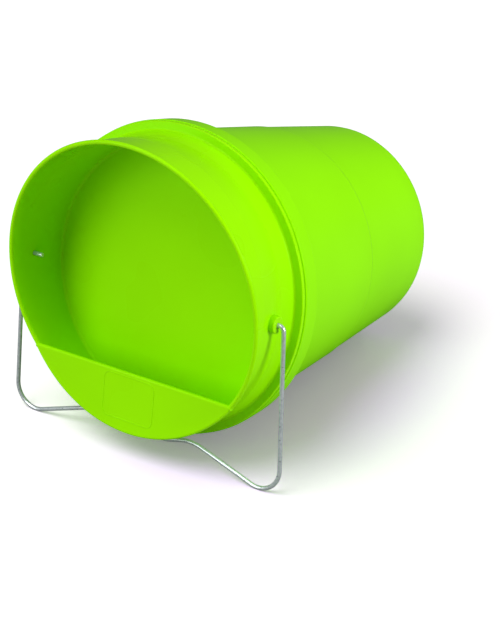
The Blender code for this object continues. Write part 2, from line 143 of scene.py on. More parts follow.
class Workshop:
    """Modelling steps that several pieces share, all done with Blender's own operators."""

    @staticmethod
    def clear_selection() -> None:
        """Leave edit mode and deselect every object."""
        if bpy.context.object and bpy.context.object.mode != "OBJECT":
            bpy.ops.object.mode_set(mode="OBJECT")
        bpy.ops.object.select_all(action="DESELECT")

    @classmethod
    def activate(cls, item: bpy.types.Object) -> None:
        """Make one object the only selected and the active one.

        Args:
            item: The object.
        """
        cls.clear_selection()
        item.select_set(True)
        bpy.context.view_layer.objects.active = item

    @classmethod
    def lathe(
        cls, name: str, profile: list[Point2], steps: int, closed: bool = False
    ) -> bpy.types.Object:
        """Spin a profile of (radius, height) points about the Z axis.

        Args:
            name: Name of the new object.
            profile: The profile's points.
            steps: Number of steps round the axis.
            closed: True if the profile's last point joins its first.

        Returns:
            The closed turned body.
        """
        cls.clear_selection()
        bpy.ops.mesh.primitive_plane_add(size=0.001, location=(0, 0, 0))
        item = bpy.context.object
        item.name = name
        item.data.name = name
        bpy.ops.object.mode_set(mode="EDIT")
        bpy.ops.mesh.select_all(action="SELECT")
        bpy.ops.mesh.merge(type="CENTER")
        points = steadied(profile + [profile[0]] if closed else profile)
        bpy.ops.transform.translate(value=(points[0][0], 0, points[0][1]))
        for here, there in zip(points, points[1:]):
            step = (there[0] - here[0], 0, there[1] - here[1])
            bpy.ops.mesh.extrude_vertices_move(TRANSFORM_OT_translate={"value": step})
        bpy.ops.mesh.select_all(action="SELECT")
        bpy.ops.mesh.spin(steps=steps, angle=2 * math.pi, center=(0, 0, 0), axis=(0, 0, 1))
        cls.close_up()
        return item

    @staticmethod
    def close_up() -> None:
        """Merge doubles, turn the faces outwards and leave edit mode."""
        bpy.ops.mesh.select_all(action="SELECT")
        bpy.ops.mesh.remove_doubles(threshold=MERGE_DISTANCE)
        bpy.ops.mesh.normals_make_consistent(inside=False)
        bpy.ops.object.mode_set(mode="OBJECT")

    @classmethod
    def rod(
        cls, name: str, route: list[Vector], radius: float, fineness: int, closed: bool = False
    ) -> bpy.types.Object:
        """Sweep a round section along a route.

        Args:
            name: Name of the new object.
            route: Points of the centre line.
            radius: Radius of the section.
            fineness: Fineness of the section, as a curve's bevel resolution.
            closed: True if the route is a loop.

        Returns:
            The rod as a closed mesh.
        """
        cls.clear_selection()
        bpy.ops.curve.primitive_bezier_curve_add(location=(0, 0, 0))
        item = bpy.context.object
        item.name = name
        curve = item.data
        curve.dimensions = "3D"
        curve.splines.clear()
        spline = curve.splines.new("POLY")
        spline.points.add(len(route) - 1)
        for point, place in zip(spline.points, route):
            point.co = (*place, 1)
        spline.use_cyclic_u = closed
        curve.bevel_depth = radius
        curve.bevel_resolution = fineness
        curve.use_fill_caps = not closed
        bpy.ops.object.convert(target="MESH")
        item = bpy.context.object
        bpy.ops.object.mode_set(mode="EDIT")
        cls.close_up()
        return item

    @classmethod
    def drum(
        cls, name: str, radius: float, depth: float, place: Vector, turn: Vector, sides: int
    ) -> bpy.types.Object:
        """A round block.

        Args:
            name: Name of the new object.
            radius: Its radius.
            depth: Its length.
            place: Where its middle is.
            turn: Its rotation.
            sides: Number of its sides.

        Returns:
            The block, with its place and turn in its mesh.
        """
        cls.clear_selection()
        bpy.ops.mesh.primitive_cylinder_add(
            vertices=sides, radius=radius, depth=depth, location=place, rotation=turn
        )
        item = bpy.context.object
        item.name = name
        bpy.ops.object.transform_apply(location=True, rotation=True, scale=True)
        return item

    @classmethod
    def cut_by_plane(cls, item: bpy.types.Object, point: Vector, normal: Vector) -> None:
        """Cut away the side of a body that the normal points to, and close it.

        Args:
            item: The body.
            point: A point on the cutting plane.
            normal: The plane's normal.
        """
        cls.activate(item)
        bpy.ops.object.mode_set(mode="EDIT")
        bpy.ops.mesh.select_all(action="SELECT")
        bpy.ops.mesh.bisect(plane_co=point, plane_no=normal, use_fill=True, clear_outer=True)
        cls.close_up()

    @classmethod
    def combine(cls, item: bpy.types.Object, tool: bpy.types.Object, how: Joining) -> None:
        """Add a tool body to a piece, or cut it away, and delete the tool.

        Args:
            item: The piece.
            tool: The tool body.
            how: Whether it is added or cut away.
        """
        cls.activate(item)
        modifier = item.modifiers.new("combine", "BOOLEAN")
        modifier.operation = how.value
        modifier.solver = "EXACT"
        modifier.object = tool
        bpy.ops.object.modifier_apply(modifier=modifier.name)
        bpy.data.objects.remove(tool, do_unlink=True)

    @classmethod
    def join(cls, pieces: list[bpy.types.Object], name: str) -> bpy.types.Object:
        """Join several objects into the first one.

        Args:
            pieces: The objects.
            name: Name of the joined object.

        Returns:
            The joined object.
        """
        cls.clear_selection()
        for piece in pieces:
            piece.select_set(True)
        bpy.context.view_layer.objects.active = pieces[0]
        bpy.ops.object.join()
        pieces[0].name = name
        return pieces[0]

    @classmethod
    def settle(cls, item: bpy.types.Object, place: Matrix, sharp: float = 35.0) -> None:
        """Put a piece's place into its mesh, and shade it smooth.

        Args:
            item: The piece.
            place: Its place in the world.
            sharp: Least angle of an edge that stays sharp.
        """
        cls.activate(item)
        item.matrix_world = place @ item.matrix_world
        bpy.ops.object.transform_apply(location=True, rotation=True, scale=True)
        bpy.ops.object.shade_smooth_by_angle(angle=math.radians(sharp))

    @staticmethod
    def dress(item: bpy.types.Object, material: bpy.types.Material) -> None:
        """Give a piece its one material."""
        item.data.materials.clear()
        item.data.materials.append(material)


@dataclass(frozen=True)
class Stance:
    """How the bucket lies: the tilt of its axis, and where the axis meets the front plane."""

    tilt: float = 9.840634
    axis_y: float = -0.1660634
    axis_height: float = 0.1589341
    pivot_back: float = 0.0160
    lean_forward: float = 5.5

    def matrix(self) -> Matrix:
        """From the axis frame to the world."""
        turn = Matrix.Rotation(math.radians(90 - self.tilt), 4, "X")
        return Matrix.Translation((0, self.axis_y, self.axis_height)) @ turn

    def hinge_matrix(self) -> Matrix:
        """From the wire's own plane, whose origin is on the hinge line, to the world."""
        lean = Matrix.Rotation(math.radians(self.tilt - self.lean_forward), 4, "X")
        return self.matrix() @ Matrix.Translation((0, 0, -self.pivot_back)) @ lean


class Shading:
    """One material with a Principled shader, and the steps that the finishes share."""

    def __init__(self, name: str) -> None:
        """Start the material.

        Args:
            name: The material's name.
        """
        self.material = bpy.data.materials.new(name)
        self.material.use_nodes = True
        self.tree = self.material.node_tree
        self.shader = self.tree.nodes["Principled BSDF"]

    def noise(self, scale: float, detail: float) -> bpy.types.Node:
        """Add a noise on Object coordinates.

        Args:
            scale: Fineness of the noise.
            detail: Number of finer layers in it.

        Returns:
            The noise node.
        """
        where = self.tree.nodes.new("ShaderNodeTexCoord")
        noise = self.tree.nodes.new("ShaderNodeTexNoise")
        noise.inputs["Scale"].default_value = scale
        noise.inputs["Detail"].default_value = detail
        self.tree.links.new(where.outputs["Object"], noise.inputs["Vector"])
        return noise

    def vary_colour(
        self, noise: bpy.types.Node, low: Colour, high: Colour, span: tuple[float, float]
    ) -> None:
        """Let the base colour follow a noise.

        Args:
            noise: The noise node.
            low: Colour where the noise is low.
            high: Colour where the noise is high.
            span: Values of the noise between which the colour changes.
        """
        shades = self.tree.nodes.new("ShaderNodeValToRGB")
        for stop, position, colour in zip(shades.color_ramp.elements, span, (low, high)):
            stop.position = position
            stop.color = (*colour, 1)
        self.tree.links.new(noise.outputs["Fac"], shades.inputs["Fac"])
        self.tree.links.new(shades.outputs["Color"], self.shader.inputs["Base Color"])

    def vary_roughness(self, noise: bpy.types.Node, low: float, high: float) -> None:
        """Let the roughness follow a noise.

        Args:
            noise: The noise node.
            low: Roughness where the noise is low.
            high: Roughness where the noise is high.
        """
        dull = self.tree.nodes.new("ShaderNodeMapRange")
        dull.inputs["To Min"].default_value = low
        dull.inputs["To Max"].default_value = high
        self.tree.links.new(noise.outputs["Fac"], dull.inputs["Value"])
        self.tree.links.new(dull.outputs["Result"], self.shader.inputs["Roughness"])

    def add_bump(self, noise: bpy.types.Node, strength: float, depth: float) -> None:
        """Let the surface rise and fall with a noise.

        Args:
            noise: The noise node.
            strength: Strength of the bump.
            depth: Its depth.
        """
        bump = self.tree.nodes.new("ShaderNodeBump")
        bump.inputs["Strength"].default_value = strength
        bump.inputs["Distance"].default_value = depth
        self.tree.links.new(noise.outputs["Fac"], bump.inputs["Height"])
        self.tree.links.new(bump.outputs["Normal"], self.shader.inputs["Normal"])


@dataclass(frozen=True)
class MouldedPlastic:
    """Semi-gloss coloured polypropylene."""

    name: str
    colour: Colour
    tint_spread: float = 0.03
    ior: float = 1.49
    reflectance: float = 0.18
    sheen: Colour = (0.42, 1.0, 0.06)
    roughness: float = 0.30
    smoother: float = 0.03
    duller: float = 0.05
    cloud_scale: float = 9.0
    cloud_detail: float = 2.0
    cloud_span: tuple[float, float] = (0.3, 0.7)
    ripple_scale: float = 26.0
    ripple_detail: float = 1.0
    ripple_strength: float = 0.35
    ripple_depth: float = 0.00004

    def material(self) -> bpy.types.Material:
        """Build the material, with faint clouds in its colour and gloss and a moulded ripple.

        Returns:
            The material.
        """
        shading = Shading(self.name)
        shading.shader.inputs["IOR"].default_value = self.ior
        shading.shader.inputs["Specular IOR Level"].default_value = self.reflectance
        shading.shader.inputs["Specular Tint"].default_value = (*self.sheen, 1)
        low = tuple(c * (1 - self.tint_spread) for c in self.colour)
        high = tuple(min(1.0, c * (1 + self.tint_spread)) for c in self.colour)
        cloud = shading.noise(self.cloud_scale, self.cloud_detail)
        shading.vary_colour(cloud, low, high, self.cloud_span)
        shading.vary_roughness(cloud, self.roughness - self.smoother, self.roughness + self.duller)
        ripple = shading.noise(self.ripple_scale, self.ripple_detail)
        shading.add_bump(ripple, self.ripple_strength, self.ripple_depth)
        return shading.material


@dataclass(frozen=True)
class SealRubber:
    """Dull black rubber."""

    name: str = "black seal rubber"
    colour: Colour = (0.018, 0.018, 0.020)
    roughness: float = 0.72
    bloom: float = 0.12
    bloom_scale: float = 240.0
    bloom_detail: float = 2.0

    def material(self) -> bpy.types.Material:
        """Build the material, with a fine bloom in its roughness.

        Returns:
            The material.
        """
        shading = Shading(self.name)
        shading.shader.inputs["Base Color"].default_value = (*self.colour, 1)
        bloom = shading.noise(self.bloom_scale, self.bloom_detail)
        shading.vary_roughness(bloom, self.roughness - self.bloom, self.roughness + self.bloom)
        return shading.material


@dataclass(frozen=True)
class ZincWire:
    """Drawn steel wire with a dull zinc coat."""

    name: str = "galvanised wire"
    light: Colour = (0.71, 0.77, 0.79)
    dark: Colour = (0.58, 0.65, 0.67)
    metal: float = 0.60
    roughness: float = 0.28
    smoother: float = 0.06
    duller: float = 0.10
    cell_scale: float = 320.0
    cell_detail: float = 4.0
    cell_span: tuple[float, float] = (0.35, 0.62)
    cell_strength: float = 0.25
    cell_depth: float = 0.00005

    def material(self) -> bpy.types.Material:
        """Build the material: metal whose colour, gloss and surface vary in small cells.

        Returns:
            The material.
        """
        shading = Shading(self.name)
        shading.shader.inputs["Metallic"].default_value = self.metal
        cells = shading.noise(self.cell_scale, self.cell_detail)
        shading.vary_colour(cells, self.dark, self.light, self.cell_span)
        shading.vary_roughness(cells, self.roughness - self.smoother, self.roughness + self.duller)
        shading.add_bump(cells, self.cell_strength, self.cell_depth)
        return shading.material


@dataclass
class Bucket:
    """The bucket: a tapered wall with a faint step, a recessed base and a collar with a skirt."""

    finish: MouldedPlastic
    rim_back: float = 0.0500
    height: float = 0.2950
    wall_top_radius: float = 0.1337
    step_radius: float = 0.1182
    step_size: float = 0.0008
    step_blend: float = 0.0012
    step_depth: float = 0.1550
    base_radius: float = 0.1040
    wall: float = 0.0022
    base_round: float = 0.0160
    floor_wall: float = 0.0026
    foot_ring_radius: float = 0.0760
    foot_recess: float = 0.0025
    foot_ring_edge: float = 0.0012
    recess_edge: float = 0.0010
    collar_radius: float = 0.1426
    collar_edge: float = 0.0012
    rim_edge: float = 0.0007
    skirt_depth: float = 0.0206
    skirt_draft: float = 0.0016
    skirt_wall: float = 0.0020
    skirt_edge: float = 0.0007
    skirt_fillet: float = 0.0008
    web_depth: float = 0.0130
    web_wall: float = 0.0016
    web_count: int = 18
    steps: int = 288

    @property
    def base_back(self) -> float:
        """The base's distance behind the front plane."""
        return self.rim_back + self.height

    @property
    def step_back(self) -> float:
        """The step line's distance behind the front plane."""
        return self.rim_back + self.step_depth

    def wall_radius(self, back: float) -> float:
        """Outer radius of the wall.

        Args:
            back: Distance behind the front plane.

        Returns:
            The radius there.
        """
        if back <= self.step_back:
            share = (back - self.rim_back) / self.step_depth
            return self.wall_top_radius + (self.step_radius - self.wall_top_radius) * share
        round_back = self.base_back - self.base_round
        share = (back - self.step_back) / (round_back - self.step_back)
        below = self.step_radius - self.step_size
        return below + (self.base_radius - below) * share

    def skirt_radius(self, back: float) -> float:
        """Outer radius of the skirt at a distance behind the front plane."""
        return self.collar_radius - self.skirt_draft * (back - self.rim_back) / self.skirt_depth

    def profile(self) -> list[Point2]:
        """The bucket's section, from the middle of the floor over the rim to the base's middle.

        Returns:
            The rounded profile.
        """
        recess = self.base_back - self.foot_recess
        floor = -(recess - self.floor_wall)
        floor_radius = self.wall_radius(-floor) - self.wall
        under = self.rim_back + self.skirt_wall
        end = self.rim_back + self.skirt_depth
        step_inner = self.step_radius - self.wall
        step_end = self.step_back + self.step_blend
        corners = [
            (0, floor, 0),
            (floor_radius, floor, self.base_round - self.wall),
            (step_inner - self.step_size, -step_end, 0),
            (step_inner, -self.step_back, 0),
            (self.wall_top_radius - self.wall, -self.rim_back, self.rim_edge),
            (self.collar_radius, -self.rim_back, self.collar_edge),
            (self.skirt_radius(end), -end, self.skirt_edge),
            (self.skirt_radius(end) - self.skirt_wall, -end, self.skirt_edge),
            (self.skirt_radius(under) - self.skirt_wall, -under, self.skirt_fillet),
            (self.wall_radius(under), -under, self.skirt_fillet),
            (self.step_radius, -self.step_back, 0),
            (self.step_radius - self.step_size, -step_end, 0),
            (self.wall_radius(self.base_back), -self.base_back, self.base_round),
            (self.foot_ring_radius, -self.base_back, self.foot_ring_edge),
            (self.foot_ring_radius - self.foot_recess, -recess, self.recess_edge),
            (0, -recess, 0),
        ]
        return softened(corners)

    def build_webs(self) -> bpy.types.Object:
        """Stand the webs between the wall and the skirt, one modelled and the others copied.

        Returns:
            All the webs in one object.
        """
        top = self.rim_back + self.skirt_wall / 2
        low = self.rim_back + self.web_depth
        inner_top = self.wall_radius(top) - self.wall / 2
        outer_top = self.skirt_radius(top) - self.skirt_wall / 2
        inner_low = self.wall_radius(low) - self.wall / 2
        outer_low = self.skirt_radius(low) - self.skirt_wall / 2
        centre = (inner_top + outer_top) / 2
        middle = -(top + low) / 2
        Workshop.clear_selection()
        bpy.ops.mesh.primitive_cube_add(
            size=1,
            location=(centre, 0, middle),
            scale=(outer_top - inner_top, self.web_wall, low - top),
        )
        web = bpy.context.object
        bpy.ops.object.transform_apply(location=True, rotation=True, scale=True)
        for inner, shift in ((True, inner_low - inner_top), (False, outer_low - outer_top)):
            bpy.ops.object.mode_set(mode="EDIT")
            bpy.ops.mesh.select_all(action="DESELECT")
            bpy.ops.object.mode_set(mode="OBJECT")
            for vertex in web.data.vertices:
                vertex.select = vertex.co.z < middle and (vertex.co.x < centre) == inner
            bpy.ops.object.mode_set(mode="EDIT")
            bpy.ops.transform.translate(value=(shift, 0, 0))
            bpy.ops.object.mode_set(mode="OBJECT")
        webs = []
        for i in range(self.web_count):
            copy = web.copy()
            copy.data = web.data.copy()
            bpy.context.scene.collection.objects.link(copy)
            copy.matrix_world = Matrix.Rotation(2 * math.pi * (i + 0.5) / self.web_count, 4, "Z")
            Workshop.activate(copy)
            bpy.ops.object.transform_apply(location=True, rotation=True, scale=True)
            webs.append(copy)
        bpy.data.objects.remove(web, do_unlink=True)
        return Workshop.join(webs, "webs")

    def build(self, stance: Stance) -> bpy.types.Object:
        """Make the bucket and hand it to its body.

        Args:
            stance: Where the bucket lies.

        Returns:
            The finished piece.
        """
        shell = Workshop.lathe("bucket_shell", self.profile(), self.steps)
        Workshop.combine(shell, self.build_webs(), Joining.ADD)
        Workshop.settle(shell, stance.matrix())
        Workshop.dress(shell, self.finish.material())
        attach(shell, "bucket")
        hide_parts("bucket")
        return shell


@dataclass
class TroughLid:
    """The trough lid: drum with a slanted mouth, lip, front plate, back wall, flange and plug."""

    finish: MouldedPlastic
    bucket: Bucket
    steps: int = 288
    sharp: float = 32.0

    # Drum and mouth
    tube_radius: float = 0.1326
    tube_wall: float = 0.0022
    hood_draft: float = 0.016
    drum_blend: float = 0.0200
    root_radius: float = 0.1300
    root_back: float = 0.0285
    root_blend: float = 0.0100
    mouth_slant: float = 9.7
    mouth_stock: float = 0.0080
    mouth_block: float = 0.4000

    # Lip and front plate
    lip_stand: float = 0.0024
    lip_bead: float = 0.0043
    lip_fineness: int = 6
    plate_top_drop: float = 0.0775
    plate_wall: float = 0.0042
    plate_setback: float = 0.00005
    plate_sides: int = 252
    plate_bead: float = 0.0044
    plate_bead_sides: int = 44

    # Plain frame on the plate
    frame_width: float = 0.0550
    frame_height: float = 0.0410
    frame_below_edge: float = 0.0038
    frame_corner: float = 0.0060
    frame_corner_step: float = 15.0
    frame_line: float = 0.0014
    frame_fineness: int = 3
    frame_stand: float = 0.0003

    # Back wall and water hole
    back_wall_back: float = 0.0510
    back_wall: float = 0.0024
    back_fillet: float = 0.0030
    water_hole: float = 0.0160
    water_hole_drop: float = 0.1080
    water_drill_sides: int = 63

    # Flange, plug and groove
    flare_radius: float = 0.1335
    flare_fillet: float = 0.0024
    flange_back: float = 0.0455
    flange_wall: float = 0.0042
    flange_setback: float = 0.0010
    flange_edge: float = 0.0010
    flange_rear_edge: float = 0.0006
    plug_depth: float = 0.0150
    plug_wall: float = 0.0026
    plug_edge: float = 0.0008
    plug_fillet: float = 0.0020
    plug_clearance: float = 0.0009
    groove_from_rim: float = 0.0060
    groove_depth: float = 0.0012
    ring_height: float = 0.0036
    seat_gap: float = 0.0003

    # Bosses and their bore
    boss_radius: float = 0.0076
    boss_stand: float = 0.0042
    boss_draft: float = 0.0004
    boss_edge: float = 0.0009
    boss_steps: int = 64
    boss_spin: float = 2.1
    wire_hole: float = 0.0047
    wire_drill_length: float = 0.3200
    wire_drill_sides: int = 47

    @property
    def lip_radius(self) -> float:
        """Outer radius of the rolled lip."""
        return self.tube_radius + self.lip_stand

    @property
    def lip_centre(self) -> float:
        """Radius of the lip's centre line."""
        return self.lip_radius - self.lip_bead / 2

    @property
    def boss_face(self) -> float:
        """Distance of a boss's face from the middle."""
        return self.tube_radius + self.boss_stand

    def drum_radius(self, back: float) -> float:
        """Outer radius of the drum.

        Args:
            back: Distance behind the front plane.

        Returns:
            The radius there.
        """
        if back <= 0:
            return self.tube_radius - self.hood_draft * back
        return self.tube_radius + (self.root_radius - self.tube_radius) * back / self.root_back

    def plug_radius(self, back: float) -> float:
        """Outer radius of the plug at a distance behind the front plane."""
        return self.bucket.wall_radius(back) - self.bucket.wall - self.plug_clearance

    def mouth_height(self, up: float) -> float:
        """How far the mouth stands in front of the front plane.

        Args:
            up: Height above the axis.

        Returns:
            The mouth's distance in front of the plane there.
        """
        if up < -self.plate_top_drop:
            return 0.0
        return (up + self.plate_top_drop) * math.tan(math.radians(self.mouth_slant))

    def profile(self) -> list[Point2]:
        """The lid's section before its mouth is cut, from the back wall's front to its rear.

        Returns:
            The rounded profile.
        """
        blank = self.mouth_height(self.lip_radius) + self.mouth_stock
        rear = self.flange_back + self.flange_wall
        plug_end = rear + self.plug_depth
        groove_top = rear + self.groove_from_rim
        groove_end = groove_top + self.ring_height + 2 * self.seat_gap
        groove_floor = self.plug_radius(groove_end) - self.groove_depth
        wall_rear = self.back_wall_back + self.back_wall
        flange = self.bucket.collar_radius - self.flange_setback
        corners = [
            (0, -self.back_wall_back, 0),
            (
                self.drum_radius(self.back_wall_back) - self.tube_wall,
                -self.back_wall_back,
                self.back_fillet,
            ),
            (self.drum_radius(0) - self.tube_wall, 0, self.drum_blend),
            (self.drum_radius(-blank) - self.tube_wall, blank, 0),
            (self.drum_radius(-blank), blank, 0),
            (self.drum_radius(0), 0, self.drum_blend),
            (self.root_radius, -self.root_back, self.root_blend),
            (self.flare_radius, -self.flange_back, self.flare_fillet),
            (flange, -self.flange_back, self.flange_edge),
            (flange, -rear, self.flange_rear_edge),
            (self.plug_radius(rear), -rear, 0),
            (self.plug_radius(groove_top), -groove_top, 0),
            (groove_floor, -groove_top, 0),
            (groove_floor, -groove_end, 0),
            (self.plug_radius(groove_end), -groove_end, 0),
            (self.plug_radius(plug_end), -plug_end, self.plug_edge),
            (self.plug_radius(plug_end) - self.plug_wall, -plug_end, self.plug_edge),
            (self.plug_radius(wall_rear) - self.plug_wall, -wall_rear, self.plug_fillet),
            (0, -wall_rear, 0),
        ]
        return softened(corners)

    def cut_mouth(self, body: bpy.types.Object) -> None:
        """Cut away what is in front of the mouth, down to the lip's centre line.

        Args:
            body: The lid so far.
        """
        sink = self.lip_bead / 2
        Workshop.clear_selection()
        bpy.ops.mesh.primitive_cube_add(
            size=self.mouth_block, location=(0, 0, self.mouth_block / 2 - sink)
        )
        block = bpy.context.object
        bpy.ops.object.transform_apply(location=True, rotation=True, scale=True)
        slant = math.radians(self.mouth_slant)
        fold = Vector((0, -self.plate_top_drop, -sink))
        Workshop.cut_by_plane(block, fold, Vector((0, math.sin(slant), -math.cos(slant))))
        Workshop.combine(body, block, Joining.CUT)

    def add_plate(self, body: bpy.types.Object) -> None:
        """Fill the foot of the mouth with the front plate and its beaded top edge.

        The plate's front lies a hair behind the lip's, so that no two faces coincide.

        Args:
            body: The lid so far.
        """
        middle = Vector((0, 0, -(self.plate_setback + self.plate_wall / 2)))
        bead_drop = self.plate_top_drop + self.plate_bead / 2
        plate = Workshop.drum(
            "plate", self.lip_centre, self.plate_wall, middle, Vector(), self.plate_sides
        )
        Workshop.cut_by_plane(plate, Vector((0, -bead_drop, 0)), Vector((0, 1, 0)))
        Workshop.combine(body, plate, Joining.ADD)
        half_span = math.sqrt(self.lip_centre**2 - self.plate_top_drop**2)
        bead = Workshop.drum(
            "plate bead",
            self.plate_bead / 2,
            2 * half_span,
            Vector((0, -bead_drop, -self.lip_bead / 2)),
            LAID_ACROSS,
            self.plate_bead_sides,
        )
        Workshop.combine(body, bead, Joining.ADD)

    def add_frame(self, body: bpy.types.Object) -> None:
        """Raise a faint, plain frame with rounded corners on the front plate.

        Args:
            body: The lid so far.
        """
        half = self.frame_width / 2
        top = -(self.plate_top_drop + self.frame_below_edge)
        foot = top - self.frame_height
        corners = [(0, top), (half, top), (half, foot), (-half, foot), (-half, top), (0, top)]
        route = rounded_route(corners, [self.frame_corner] * 4, self.frame_corner_step)[:-1]
        sink = self.frame_line / 2 - self.frame_stand
        loop = [Vector((x, y, -sink)) for x, y in route]
        line = Workshop.rod(
            "plate frame", loop, self.frame_line / 2, self.frame_fineness, closed=True
        )
        Workshop.combine(body, line, Joining.ADD)

    def add_lip(self, body: bpy.types.Object) -> None:
        """Roll the lip round the mouth.

        Args:
            body: The lid so far.
        """
        route = []
        for i in range(self.steps):
            turn = 2 * math.pi * (i + 0.5) / self.steps
            up = self.lip_centre * math.sin(turn)
            height = self.mouth_height(up) - self.lip_bead / 2
            route.append(Vector((self.lip_centre * math.cos(turn), up, height)))
        lip = Workshop.rod("lip", route, self.lip_bead / 2, self.lip_fineness, closed=True)
        Workshop.combine(body, lip, Joining.ADD)

    def add_bosses(self, body: bpy.types.Object, stance: Stance) -> None:
        """Stand the two bosses on the drum, and drill them and the drum for the wire.

        Each boss is turned by boss_spin, so that its facets don't run along the drum's.

        Args:
            body: The lid so far.
            stance: Where the hinge line is.
        """
        root = self.drum_radius(stance.pivot_back) - self.tube_wall / 2
        corners = [
            (0, root, 0),
            (self.boss_radius + self.boss_draft, root, 0),
            (self.boss_radius, self.boss_face, self.boss_edge),
            (0, self.boss_face, 0),
        ]
        for side in (1, -1):
            boss = Workshop.lathe("boss", softened(corners), self.boss_steps)
            spin = Matrix.Rotation(math.radians(self.boss_spin), 4, "Z")
            lay = Matrix.Rotation(side * math.pi / 2, 4, "Y")
            boss.matrix_world = Matrix.Translation((0, 0, -stance.pivot_back)) @ lay @ spin
            Workshop.activate(boss)
            bpy.ops.object.transform_apply(location=True, rotation=True, scale=True)
            Workshop.combine(body, boss, Joining.ADD)
        drill = Workshop.drum(
            "drill",
            self.wire_hole / 2,
            self.wire_drill_length,
            Vector((0, 0, -stance.pivot_back)),
            LAID_ACROSS,
            self.wire_drill_sides,
        )
        Workshop.combine(body, drill, Joining.CUT)

    def drill_water_hole(self, body: bpy.types.Object) -> None:
        """Drill the hole low in the back wall that lets the water into the trough.

        Args:
            body: The lid so far.
        """
        middle = -(self.back_wall_back + self.back_wall / 2)
        drill = Workshop.drum(
            "water drill",
            self.water_hole / 2,
            self.back_wall * 4,
            Vector((0, -self.water_hole_drop, middle)),
            Vector(),
            self.water_drill_sides,
        )
        Workshop.combine(body, drill, Joining.CUT)

    def build(self, stance: Stance) -> bpy.types.Object:
        """Make the lid in one moulding and hand it to its body.

        Args:
            stance: Where the bucket lies.

        Returns:
            The finished piece.
        """
        body = Workshop.lathe("trough_lid_moulding", self.profile(), self.steps)
        self.cut_mouth(body)
        self.add_plate(body)
        self.add_lip(body)
        self.add_frame(body)
        self.add_bosses(body, stance)
        self.drill_water_hole(body)
        Workshop.settle(body, stance.matrix(), self.sharp)
        Workshop.dress(body, self.finish.material())
        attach(body, "trough_lid")
        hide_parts("trough_lid")
        return body


@dataclass
class SealingRing:
    """The rubber ring in the plug's groove."""

    finish: SealRubber
    lid: TroughLid
    inner_edge: float = 0.0004
    steps: int = 288

    def profile(self) -> list[Point2]:
        """The ring's section, rounder on the outside.

        Returns:
            The rounded profile.
        """
        lid = self.lid
        top = lid.flange_back + lid.flange_wall + lid.groove_from_rim + lid.seat_gap
        end = top + lid.ring_height
        inner = lid.plug_radius(end + lid.seat_gap) - lid.groove_depth + lid.seat_gap
        outer = lid.bucket.wall_radius(end) - lid.bucket.wall - lid.seat_gap
        outer_edge = lid.ring_height / 4
        corners = [
            (outer, -top, outer_edge),
            (outer, -end, outer_edge),
            (inner, -end, self.inner_edge),
            (inner, -top, self.inner_edge),
        ]
        return softened(corners)

    def build(self, stance: Stance) -> bpy.types.Object:
        """Make the ring and hand it to the lid's body.

        Args:
            stance: Where the bucket lies.

        Returns:
            The finished piece.
        """
        ring = Workshop.lathe("sealing_ring_rubber", self.profile(), self.steps, closed=True)
        Workshop.settle(ring, stance.matrix())
        Workshop.dress(ring, self.finish.material())
        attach(ring, "trough_lid")
        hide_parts("sealing_ring")
        return ring


@dataclass
class WireStand:
    """The bent wire: two feet in front, and the bail when it is swung round."""

    finish: ZincWire
    lid: TroughLid
    diameter: float = 0.0040
    stub: float = 0.0095
    boss_to_leg: float = 0.0057
    hinge_bend: float = 0.0048
    leg_splay: float = 0.0065
    foot_drop: float = 0.0238
    foot_bend: float = 0.0220
    crest_half_width: float = 0.0540
    crest_rise: float = 0.0075
    crest_bend: float = 0.0400
    grip_half_width: float = 0.0260
    grip_bend: float = 0.0250
    bail_clearance: float = 0.0020
    end_round: float = 0.0005
    end_round_steps: int = 3
    end_angle: float = 60.0
    bend_step: float = 5.0
    fineness: int = 6
    sharp: float = 40.0

    def route(self, stance: Stance) -> list[Point2]:
        """Centre line of the wire in its own plane.

        Args:
            stance: Where the hinge line is.

        Returns:
            Points (x, height above the hinge line).
        """
        lid = self.lid
        inner = lid.drum_radius(stance.pivot_back) - lid.tube_wall
        leg = lid.boss_face + self.boss_to_leg
        reach = math.hypot(stance.pivot_back, lid.lip_radius)
        grip = reach + self.diameter / 2 + self.bail_clearance
        half = [
            (inner - self.stub, 0),
            (leg, 0),
            (leg + self.leg_splay, -(grip + self.foot_drop)),
            (self.crest_half_width, -(grip - self.crest_rise)),
            (self.grip_half_width, -grip),
        ]
        bends = [self.hinge_bend, self.foot_bend, self.crest_bend, self.grip_bend]
        mirrored = [(-x, y) for x, y in reversed(half)]
        return rounded_route(half + mirrored, bends + bends[::-1], self.bend_step)

    def build(self, stance: Stance) -> bpy.types.Object:
        """Bend the wire and hand it to its body.

        Args:
            stance: Where the hinge line is.

        Returns:
            The finished piece.
        """
        route = [Vector((x, y, 0)) for x, y in self.route(stance)]
        wire = Workshop.rod("bent_wire", route, self.diameter / 2, self.fineness)
        edge = wire.modifiers.new("cut ends", "BEVEL")
        edge.width = self.end_round
        edge.segments = self.end_round_steps
        edge.limit_method = "ANGLE"
        edge.angle_limit = math.radians(self.end_angle)
        Workshop.activate(wire)
        bpy.ops.object.modifier_apply(modifier=edge.name)
        Workshop.settle(wire, stance.hinge_matrix(), self.sharp)
        Workshop.dress(wire, self.finish.material())
        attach(wire, "wire_stand")
        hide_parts("wire_stand")
        return wire


